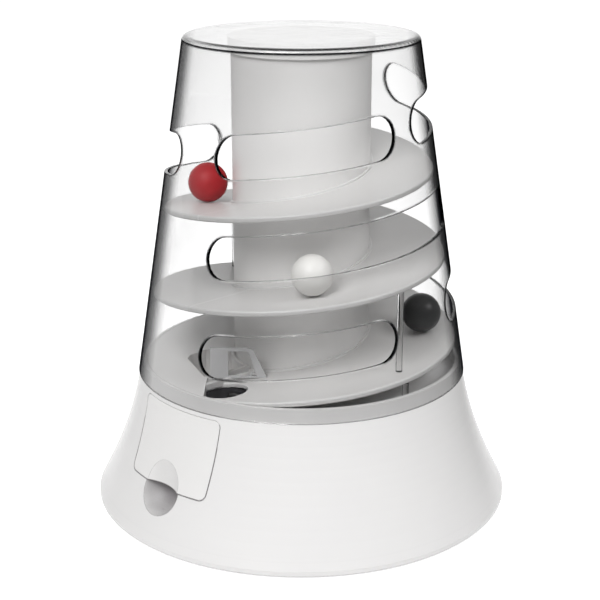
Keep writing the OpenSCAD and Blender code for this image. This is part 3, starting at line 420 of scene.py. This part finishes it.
def on_skin(tree, ideal, fallback, closeness):
    facet = add_node(tree, "ShaderNodeNewGeometry").outputs["True Normal"]
    agree = add_node(tree, "ShaderNodeVectorMath", {0: facet, 1: ideal}, operation="DOT_PRODUCT")
    side = add_node(tree, "ShaderNodeMath", {0: agree}, operation="SIGN")
    facing = add_node(tree, "ShaderNodeVectorMath", {0: ideal, "Scale": side}, operation="SCALE")
    near = add_node(tree, "ShaderNodeMath", {0: agree}, operation="ABSOLUTE")
    belongs = add_node(tree, "ShaderNodeMath", {0: near, 1: closeness}, operation="GREATER_THAN")
    chosen = add_node(tree, "ShaderNodeMix", {"Factor": belongs, "A": fallback, "B": facing},
                      data_type="VECTOR")
    return chosen, belongs


def helical_skin(tree, place, corner):
    across = add_node(tree, "ShaderNodeVectorMath", {0: place, 1: (0, 0, 1)}, operation="CROSS_PRODUCT")
    square = add_node(tree, "ShaderNodeVectorMath", {0: across, 1: across}, operation="DOT_PRODUCT")
    slope = add_node(tree, "ShaderNodeMath", {0: TRACK_PITCH / math.tau, 1: square}, operation="DIVIDE")
    tilt = add_node(tree, "ShaderNodeVectorMath", {0: across, "Scale": slope}, operation="SCALE")
    upward = add_node(tree, "ShaderNodeVectorMath", {0: tilt, 1: (0, 0, 1)}, operation="ADD")
    unit = add_node(tree, "ShaderNodeVectorMath", {0: upward}, operation="NORMALIZE")
    return on_skin(tree, unit, corner, TRACK_SKIN)[0]


climb = math.atan(TRACK_PITCH / (math.tau * 80 * MM))
print("80 mm out, the ramp climbs at", round(math.degrees(climb), 1), "degrees")

# %% Track
def paint_edge_highlight(finish, colour, radius_mm):
    tree = finish.node_tree
    shader = tree.nodes["Principled BSDF"]
    facet = add_node(tree, "ShaderNodeNewGeometry").outputs["True Normal"]
    rounded = add_node(tree, "ShaderNodeBevel", {"Radius": radius_mm * MM, "Normal": facet}, samples=6)
    agree = add_node(tree, "ShaderNodeVectorMath", {0: facet, 1: rounded}, operation="DOT_PRODUCT")
    # Painted highlight: near each edge the colour is lightened towards the given colour.
    painted_highlight = add_node(tree, "ShaderNodeMapRange", {"Value": agree, "From Min": 0.99, "From Max": 0.8,
                                                   "To Min": 0.0, "To Max": 1.0})
    skin_colour = shader.inputs["Base Color"].links[0].from_socket
    mixed = add_node(tree, "ShaderNodeMix", {"Factor": painted_highlight, "A": skin_colour, "B": linear(colour)},
                     data_type="RGBA")
    feed(shader, {"Base Color": mixed})


# A satin tool again, with a coarse, very shallow grain: the ramp turns slowly and evenly to shade.
# Its white is a little greyer than the column's, which is painted shade.
track_white = moulded("white ABS, moulded, helical track", "#E0DFDE", "#DBDAD9", rough=0.34, grain_mm=1.4,
                      grain_depth_mm=0.002, corner_mm=1.2, skin_of=helical_skin)
# A painted highlight lightens every edge of the track towards white.
paint_edge_highlight(track_white, "#FFFFFF", radius_mm=1.4)
wear(track_white, "track_lower", "track_middle", "track_upper")
print("track of", len(track_white.node_tree.nodes), "nodes")

# %% [markdown]
# ## The clear cover
# The cover is one moulding in clear styrene, polished inside and out, with long slots for a paw. It could
# be a faked sheet that only takes a little light away, and that is quick and free of noise. But the dark
# crescents at the ends of the slots and the bright and dark lines of the rim come from light that bends in
# the rounded edges, so it is true glass here, with an inner and an outer face. Its mesh is facetted as the
# track's is, so the smooth normal of the cone is worked out from the place of a point.

# %% The cone's own skin
# The wall leans in by COVER_TAPER for each unit of height. A facet within COVER_SKIN of it counts as wall.
COVER_TAPER, COVER_SKIN = 0.18, 0.97

clear, tree, shader, place = new_finish("clear styrene, moulded, polished both sides")
tree.nodes.remove(shader)
level_place = add_node(tree, "ShaderNodeVectorMath", {0: place, 1: (1, 1, 0)}, operation="MULTIPLY")
radial = add_node(tree, "ShaderNodeVectorMath", {0: level_place}, operation="NORMALIZE")
leaned = add_node(tree, "ShaderNodeVectorMath", {0: radial, 1: (0, 0, COVER_TAPER)}, operation="ADD")
cone = add_node(tree, "ShaderNodeVectorMath", {0: leaned}, operation="NORMALIZE")
facet = add_node(tree, "ShaderNodeNewGeometry").outputs["True Normal"]
skin, on_wall = on_skin(tree, cone, facet, COVER_SKIN)
ripple = add_node(tree, "ShaderNodeTexNoise", {"Vector": place, "Scale": 1 / (18 * MM), "Detail": 2.0})
wavy = add_node(tree, "ShaderNodeBump", {"Height": ripple, "Distance": 0.1 * MM, "Strength": 0.4,
                                         "Normal": skin})
print("cone leans", round(math.degrees(math.atan(COVER_TAPER)), 1), "degrees")

# %% [markdown]
# ## Where the cover goes dark
# Looked at square on, the wall is almost invisible. Where the eye looks along it, light has come a long way
# through plastic that is not quite clear, and what it mirrors is the black card. In the same way the
# rounded ends of the slots and the rolled rim turn the light aside. That darkness is painted into the glass
# colour as painted shade: by Layer Weight where the wall turns away, by how far a Bevel node turns the
# normal round the axis at a slot's end, and by how far it turns it up in the top few millimetres. Dark lines
# could be modelled as thin strips, but they would stay dark from every side, and these come and go as they
# do on the real cover.

# %% Painted dark edges of the cover
SLOT_EDGE, RIM_HEIGHT = 3.2 * MM, 5.5 * MM

edge_on = add_node(tree, "ShaderNodeLayerWeight", {"Blend": 0.5, "Normal": skin})
grazing_dark = add_node(tree, "ShaderNodeMapRange", {"Value": edge_on.outputs["Facing"], "From Min": 0.6,
                                                 "From Max": 0.85, "To Min": 0.0, "To Max": 1.0})
along_wall = add_node(tree, "ShaderNodeMath", {0: grazing_dark, 1: on_wall}, operation="MULTIPLY")
lip = add_node(tree, "ShaderNodeBevel", {"Radius": SLOT_EDGE, "Normal": facet}, samples=8)
axis_way = add_node(tree, "ShaderNodeVectorMath", {0: radial, 1: (0, 0, 1)}, operation="CROSS_PRODUCT")
lip_turn = add_node(tree, "ShaderNodeVectorMath", {0: lip, 1: axis_way}, operation="DOT_PRODUCT")
lip_size = add_node(tree, "ShaderNodeMath", {0: lip_turn}, operation="ABSOLUTE")
slot_end = add_node(tree, "ShaderNodeMapRange", {"Value": lip_size, "From Min": 0.06, "From Max": 0.3,
                                                 "To Min": 0.0, "To Max": 1.0})
rim_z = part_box("clear_cover")[1][2] - RIM_HEIGHT
height = add_node(tree, "ShaderNodeSeparateXYZ", {0: place}).outputs["Z"]
at_rim = add_node(tree, "ShaderNodeMath", {0: height, 1: rim_z}, operation="GREATER_THAN")
lip_z = add_node(tree, "ShaderNodeSeparateXYZ", {0: lip}).outputs["Z"]
lip_up = add_node(tree, "ShaderNodeMapRange", {"Value": lip_z, "From Min": 0.19, "From Max": 0.26,
                                               "To Min": 0.0, "To Max": 1.0})
rim_dark = add_node(tree, "ShaderNodeMath", {0: at_rim, 1: lip_up}, operation="MULTIPLY")
rim_wall = add_node(tree, "ShaderNodeMath", {0: rim_dark, 1: on_wall}, operation="MULTIPLY")
edges = add_node(tree, "ShaderNodeMath", {0: rim_wall, 1: slot_end}, operation="MAXIMUM")
painted_dark_mask = add_node(tree, "ShaderNodeMath", {0: along_wall, 1: edges}, operation="MAXIMUM")
print("rim above", round(rim_z / MM, 1), "mm")

# %% [markdown]
# ## Glass that lets the lamps in
# Glass stops a path tracer's lamps: light that bends on its way in can't be aimed, so the toy inside would
# sit in the dark or in a storm of noise. The usual way out is used here. The eye and its mirror images meet
# the glass, and shadow and bounce light meet a Transparent shader, which takes away about what two walls
# would.

# %% Cover glass
# Painted shade: the glass colour goes nearly black where the wall is seen edge-on, at slot ends and at the
# rim.
painted_dark_edges = add_node(tree, "ShaderNodeMix", {"Factor": painted_dark_mask, "A": linear("#FDFDFD"),
                                              "B": linear("#2C2C30")}, data_type="RGBA")
rounded = add_node(tree, "ShaderNodeBevel", {"Radius": 2.0 * MM, "Normal": wavy}, samples=6)
# Polish on both sides leaves no haze at all: only a faint ripple bends what is behind.
solid = add_node(tree, "ShaderNodeBsdfGlass", {"Color": painted_dark_edges, "Roughness": 0.0, "IOR": 1.5,
                                               "Normal": rounded})
ray = add_node(tree, "ShaderNodeLightPath")
lighting = add_node(tree, "ShaderNodeMath", {0: ray.outputs["Is Shadow Ray"],
                                             1: ray.outputs["Is Diffuse Ray"]}, operation="MAXIMUM")
lamp_share = add_node(tree, "ShaderNodeMix", {"Factor": ray.outputs["Is Shadow Ray"],
                                              "A": linear("#D4D4D4"), "B": linear("#FFFFFF")},
                      data_type="RGBA")
dimmed = add_node(tree, "ShaderNodeMix", {"Factor": on_wall, "A": linear("#FAFAFA"), "B": lamp_share},
                  data_type="RGBA")
thin = add_node(tree, "ShaderNodeBsdfTransparent", {"Color": dimmed})
glaze = add_node(tree, "ShaderNodeMixShader", {0: lighting, 1: solid, 2: thin})
feed(tree.nodes["Material Output"], {"Surface": glaze})
wear(clear, "clear_cover")
print("clear cover", len(tree.nodes), "nodes")

# %% [markdown]
# ## The clear posts
# Round posts in the same clear plastic hold the track up from below. Each acts as a lens, bright in the
# middle and dark down its sides, which is all that shows of it in the photograph. The dark down the sides
# is also painted into the glass colour, as painted shade. A thin tube would look much the same, but these
# are solid, and so is the glass.

# %% Post glass
# A moulded rod keeps faint streaks, so its bright and dark lines waver a little.
bar, tree, shader, place = new_finish("clear styrene, moulded, round posts")
tree.nodes.remove(shader)
streaks = add_node(tree, "ShaderNodeTexNoise", {"Vector": place, "Scale": 1 / (4 * MM), "Detail": 2.0})
drawn = add_node(tree, "ShaderNodeBump", {"Height": streaks, "Distance": 0.05 * MM, "Strength": 0.5})
edge_on = add_node(tree, "ShaderNodeLayerWeight", {"Blend": 0.5})
grazing_dark = add_node(tree, "ShaderNodeMapRange", {"Value": edge_on.outputs["Facing"], "From Min": 0.3,
                                                 "From Max": 0.7, "To Min": 0.0, "To Max": 1.0})
# Painted shade: the glass colour darkens where the post's side turns away.
painted_dark_edges = add_node(tree, "ShaderNodeMix", {"Factor": grazing_dark, "A": linear("#FAFAFA"),
                                              "B": linear("#5A5A5E")}, data_type="RGBA")
solid = add_node(tree, "ShaderNodeBsdfGlass", {"Color": painted_dark_edges, "Roughness": 0.02, "IOR": 1.5,
                                               "Normal": drawn})
thin = add_node(tree, "ShaderNodeBsdfTransparent", {"Color": linear("#E0E0E0")})
ray = add_node(tree, "ShaderNodeLightPath")
shade = add_node(tree, "ShaderNodeMixShader", {0: ray.outputs["Is Shadow Ray"], 1: solid, 2: thin})
feed(tree.nodes["Material Output"], {"Surface": shade})
wear(bar, "track_posts")
print("posts", len(tree.nodes), "nodes")

# %% [markdown]
# ## The balls
# Three hollow balls, each of two halves welded at the middle, run on the track. They are polypropylene,
# which is softer and a little waxier than ABS, and tumbling has left them less shiny than the base. One
# finish in three colours would do. The scuffs come from a fine noise over the plain plastic, no more than
# half strong, because a ball worn to one even tone looks like a disc.

# %% Ball finishes
def ball_finish(name, colour, worn_colour, rough):
    finish = moulded(name, colour, worn_colour, rough, grain_mm=1.1, grain_depth_mm=0.02, corner_mm=0.3,
                     ior=1.4)
    tree = finish.node_tree
    shader = tree.nodes["Principled BSDF"]
    place = add_node(tree, "ShaderNodeTexCoord").outputs["Object"]
    scuff = add_node(tree, "ShaderNodeTexNoise", {"Vector": place, "Scale": 1 / (3.5 * MM), "Detail": 6.0,
                                                  "Roughness": 0.7})
    worn = add_node(tree, "ShaderNodeMapRange", {"Value": scuff, "From Min": 0.35, "From Max": 0.75,
                                                 "To Min": 0.0, "To Max": 0.5})
    skin_colour = shader.inputs["Base Color"].links[0].from_socket
    mixed = add_node(tree, "ShaderNodeMix", {"Factor": worn, "A": skin_colour, "B": linear(worn_colour)},
                     data_type="RGBA")
    feed(shader, {"Base Color": mixed})
    return finish


# Tumbling dulls the skin evenly: one wide, soft highlight, and scuffs that only show as a drift of tone.
balls = {"red": ("#BE1420", "#A8121C", 0.5), "white": ("#ECEBE9", "#E2E1DE", 0.35),
         "black": ("#1C1C1E", "#222224", 0.36)}
for ball, (colour, scuffed, rough) in balls.items():
    wear(ball_finish(f"{ball} polypropylene, moulded, tumbled", colour, scuffed, rough), f"ball_{ball}")
print("balls dressed", list(balls))

# %% [markdown]
# ## Metals of the works
# None of the works shows through the white base, but each part is taken out of the library by itself. A
# plain grey metal would pass for all of them. A machined one is told by its fine lines, though, which run
# the way the tool went: rings on a ground shaft, streaks along drawn wire. So a noise is stretched along
# one axis, and it drives both the gloss and a bump of a hundredth of a millimetre. The lines are drawn
# coarser than real ones, or they wouldn't show at all. A broader noise stands for the grease and handling
# that dull a metal.

# %% Turned and drawn metal
# The noise changes fast along the given axis, and 25 times slower across it.
GREASE, STRETCH = "#8F8D88", {"Y": (0.04, 1, 0.04), "Z": (0.04, 0.04, 1)}


def turned_metal(name, colour, rough, line_mm, direction="Z"):
    finish, tree, shader, place = new_finish(name)
    drawn = add_node(tree, "ShaderNodeVectorMath", {0: place, 1: STRETCH[direction]}, operation="MULTIPLY")
    lines = add_node(tree, "ShaderNodeTexNoise", {"Vector": drawn, "Scale": 1 / (line_mm * MM),
                                                  "Detail": 5.0})
    cloud = add_node(tree, "ShaderNodeTexNoise", {"Vector": place, "Scale": 1 / (9 * MM), "Detail": 3.0})
    tone = add_node(tree, "ShaderNodeMix", {"Factor": cloud, "A": linear(colour), "B": linear(GREASE)},
                    data_type="RGBA")
    gloss = add_node(tree, "ShaderNodeMapRange", {"Value": lines, "From Min": 0.3, "From Max": 0.7,
                                                  "To Min": rough * 0.7, "To Max": rough * 1.4})
    corner = add_node(tree, "ShaderNodeBevel", {"Radius": 0.2 * MM}, samples=4)
    ridges = add_node(tree, "ShaderNodeBump", {"Height": lines, "Distance": 0.01 * MM, "Strength": 0.5,
                                               "Normal": corner})
    feed(shader, {"Metallic": 1.0, "Base Color": tone, "Roughness": gloss, "Normal": ridges})
    return finish


print("metal lines are ranked along", list(STRETCH))

# %% Shafts, bushes, screws and motor can
# Grinding leaves a bright shaft with hair-fine rings, so its highlight is a sharp line along it.
wear(turned_metal("steel shaft, ground", "#C9C8C5", rough=0.22, line_mm=0.4), "screw_shaft", "gear_axle")
# Sintered bronze is pressed powder full of oil: warm brown, and dull for a metal.
wear(turned_metal("bronze bush, sintered and oiled", "#9C7A4E", rough=0.45, line_mm=0.3),
     "lower_bush", "middle_bush", "upper_bush")
# Zinc plating gives steel a cool, slightly blue white that is never mirror bright.
wear(turned_metal("steel screw, zinc-plated", "#BFC3C8", rough=0.3, line_mm=0.35), "base_screws")
# Drawing stretches the can's sheet over a punch, so its streaks are wider apart.
wear(turned_metal("motor can, drawn steel, zinc-plated", "#B7BBBF", rough=0.32, line_mm=0.6), "gear_motor")
# Nickel is brighter and warmer than zinc, and it keeps the polish of the strip or wire under it.
nickel = turned_metal("spring steel, nickel-plated", "#CFCDC8", rough=0.2, line_mm=0.5, direction="Y")
wear(nickel, "contact_springs", "contact_plates")
print("metals dressed, the brightest is", nickel.name)

# %% [markdown]
# ## Gears, feet, knob and boxes
# Gears and the lift screw are acetal, which is milky and slippery and needs no grease. The other inner
# parts are whatever was cheap: grey or black ABS, and a soft rubber under the base. They all come out of
# moulds, so they use the recipe of the white parts with other colours, and a coarser grain where the tool
# wasn't polished.

# %% Inner plastics and rubber
# Acetal scatters light inside itself: off-white, slightly yellow, with soft highlights on its teeth.
acetal = moulded("acetal, moulded, natural", "#E9E6DD", "#E2DED2", rough=0.38, grain_mm=0.8,
                 grain_depth_mm=0.012, corner_mm=0.25)
wear(acetal, "main_gear", "compound_gear", "motor_pinion", "lift_screw")
# An unpolished tool leaves grey ABS flat and even, as a part that nobody sees.
wear(moulded("grey ABS, moulded, matt", "#BDBDBB", "#B4B4B2", rough=0.5, grain_mm=0.8, grain_depth_mm=0.02),
     "gear_plate", "battery_box")
# Soft rubber takes every pit of its mould and has hardly any shine, only a bloom at a low angle.
wear(moulded("thermoplastic rubber, moulded, matt", "#8A8A8A", "#7E7E7E", rough=0.75, grain_mm=0.6,
             grain_depth_mm=0.03), "rubber_feet")
# The knob is handled, so its black stays half glossy on the ribs.
wear(moulded("black ABS, moulded, ribbed knob", "#232325", "#2B2B2E", rough=0.42, grain_mm=0.6,
             grain_depth_mm=0.015), "switch_knob", "power_switch")
print("teeth in", acetal.name)

# %% [markdown]
# ## Board and cells
# The control board is glass-epoxy under a green mask, and the copper lines show through the mask as a
# lighter net. Real ones run where the circuit needs them, but a brick pattern of 6 mm says the same at this
# size. The cells wear a plain blue sleeve, shrunk on, with no print on it: the faint drift of tone is the
# wrinkled film.

# %% Control board and dry cells
# The mask is a thick, slightly wavy lacquer, so the board is shiny for something so flat.
board, tree, shader, place = new_finish("glass-epoxy board, green mask over copper")
net = add_node(tree, "ShaderNodeTexBrick", {"Vector": place, "Scale": 1 / (6 * MM), "Mortar Size": 0.06,
                                            "Color1": linear("#1E5B33"), "Color2": linear("#1A5030"),
                                            "Mortar": linear("#2F7A46")})
feed(shader, {"Roughness": 0.3, "Base Color": net})
wear(board, "control_board")
# Shrink film pulls itself smooth on a cell, and gives long, clean highlights.
sleeve, tree, shader, place = new_finish("dry cell, shrunk film sleeve")
film = add_node(tree, "ShaderNodeTexNoise", {"Vector": place, "Scale": 1 / (5 * MM), "Detail": 4.0})
tone = add_node(tree, "ShaderNodeMix", {"Factor": film, "A": linear("#2B4C7A"), "B": linear("#345889")},
                data_type="RGBA")
feed(shader, {"Roughness": 0.28, "Base Color": tone})
wear(sleeve, "battery_cells")
bare = [name for name, part in node.items() if not part.data.materials or not part.data.materials[0]]
print("nodes without a finish", bare)

# %% [markdown]
# ## Coil springs of the battery bay
# The CAD solids of the contacts are plain cones, the room that each spring needs. The real thing is a few
# turns of nickel-plated wire that narrow towards the cell, on a round foot. A Screw modifier or a curve
# with a bevel would make it too. Here a ring of wire is spun round the axis while it climbs, which gives a
# helix in one operator, and the turns are then drawn in towards the tip. Each spring is turned and moved
# into its place in the bay inside its own mesh, so that its object stays at the origin.

# %% One conical spring
WIRE_R, FOOT_R, TIP_R = 0.28 * MM, 3.1 * MM, 2.1 * MM
FOOT_THICK, WIRE_START, CLIMB = 0.4 * MM, 0.7 * MM, 2.1 * MM
TURNS, STEPS, WIRE_SIDES = 3.5, 84, 8


def coil_spring():
    wire = bmesh.new()
    start = Matrix.Translation((FOOT_R, 0, WIRE_START)) @ Matrix.Rotation(math.pi / 2, 4, "X")
    bmesh.ops.create_circle(wire, cap_ends=False, segments=WIRE_SIDES, radius=WIRE_R, matrix=start)
    bmesh.ops.spin(wire, geom=wire.verts[:] + wire.edges[:], cent=(0, 0, 0), axis=(0, 0, 1),
                   angle=TURNS * math.tau, dvec=(0, 0, CLIMB / STEPS), steps=STEPS, use_merge=False,
                   use_normal_flip=False, use_duplicate=False)
    ends = [edge for edge in wire.edges if edge.is_boundary]
    bmesh.ops.holes_fill(wire, edges=ends, sides=WIRE_SIDES)
    for vert in wire.verts:
        climbed = min(1, max(0, (vert.co.z - WIRE_START) / CLIMB))
        vert.co.xy *= 1 + (TIP_R / FOOT_R - 1) * climbed
    foot = bmesh.ops.create_cone(wire, cap_ends=True, segments=32, radius1=FOOT_R + WIRE_R,
                                 radius2=FOOT_R + WIRE_R, depth=FOOT_THICK,
                                 matrix=Matrix.Translation((0, 0, FOOT_THICK / 2)))
    foot_edges = {edge for vert in foot["verts"] for edge in vert.link_edges}
    rims = [edge for edge in foot_edges if edge.calc_face_angle(0) > 1]
    bmesh.ops.bevel(wire, geom=rims, offset=0.1 * MM, affect="EDGES", segments=2, profile=0.5, material=-1)
    bmesh.ops.recalc_face_normals(wire, faces=wire.faces)
    return wire


trial = coil_spring()
print("one spring has", len(trial.faces), "faces")
trial.free()

# %% Three springs in the bay
# The bay leans back with the wall, round the middle of the cells. Neighbours face opposite ways.
DOOR_TURN, BAY_LEAN = math.radians(-45.8), math.radians(-12.4)
CELL_PITCH, BAY_HALF = 11.2 * MM, 25.25 * MM

bay_middle = [(low + high) / 2 for low, high in zip(*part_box("battery_cells"))]
bay_turn = Matrix.Rotation(DOOR_TURN, 4, "Z") @ Matrix.Rotation(BAY_LEAN, 4, "X")
bay = Matrix.Translation(bay_middle) @ bay_turn
springs = bmesh.new()
for row, side in ((-1, -1), (0, 1), (1, -1)):
    one = coil_spring()
    lie = Matrix.Rotation(-side * math.pi / 2, 4, "Y")
    one.transform(bay @ Matrix.Translation((side * BAY_HALF, 0, row * CELL_PITCH)) @ lie)
    one_mesh = bpy.data.meshes.new("one spring")
    one.to_mesh(one_mesh)
    one.free()
    springs.from_mesh(one_mesh)
    bpy.data.meshes.remove(one_mesh)
spring_mesh = bpy.data.meshes.new("battery_springs")
springs.to_mesh(spring_mesh)
springs.free()
spring_mesh.materials.append(nickel)
battery_springs = bpy.data.objects.new("battery_springs", spring_mesh)
bpy.context.scene.collection.objects.link(battery_springs)
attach(battery_springs, "tower")
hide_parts("contact_springs")
spans = [[vert.co[i] / MM for vert in spring_mesh.vertices] for i in range(3)]
print("springs span", [(round(min(span), 1), round(max(span), 1)) for span in spans])
